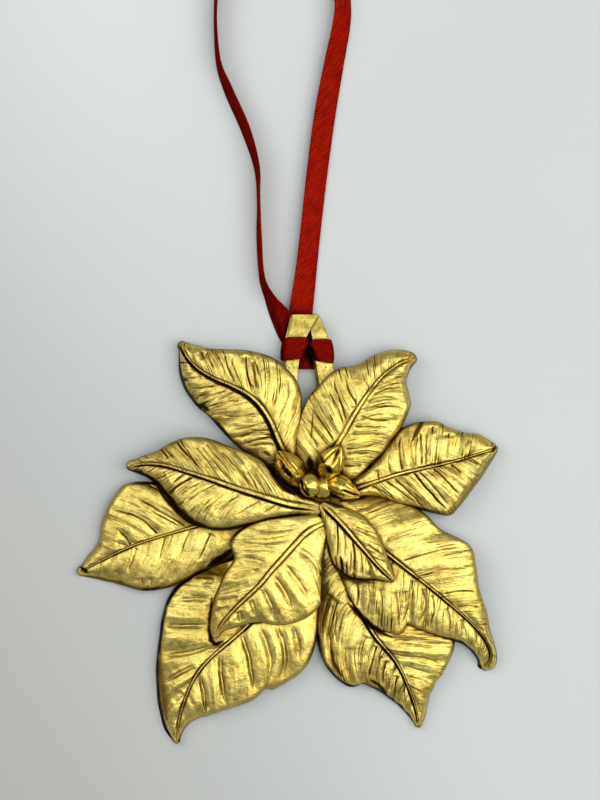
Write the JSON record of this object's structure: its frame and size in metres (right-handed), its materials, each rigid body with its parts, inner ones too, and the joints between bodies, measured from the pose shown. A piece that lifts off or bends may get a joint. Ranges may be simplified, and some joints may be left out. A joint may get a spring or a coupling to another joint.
{
  "type": "poinsettia christmas ornament",
  "caption": "Cast brass poinsettia flower ornament with layered veined bracts, small centre buds, a folded hanging strip behind and a red satin ribbon loop.",
  "frame": {"origin": "on the surface the ornament lies on, under the middle of the brass work's box", "axes": "+Z out of the flower's face, +Y towards the hanging strip, +X to the right as the face is seen"},
  "size_m": [0.0896, 0.2131, 0.0115],
  "materials": {
    "casting_brass": "gold-plated casting with dark recesses",
    "strip_brass": "gold-plated satin strip",
    "ribbon_satin": "red satin ribbon"
  },
  "bodies": {
    "root": {"poinsettia_casting": "casting_brass", "hanging_strip": "strip_brass", "ribbon_hitch": "ribbon_satin", "ribbon_left_strand": "ribbon_satin", "ribbon_right_strand": "ribbon_satin", "ribbon_knot": "ribbon_satin"}
  },
  "joints": []
}
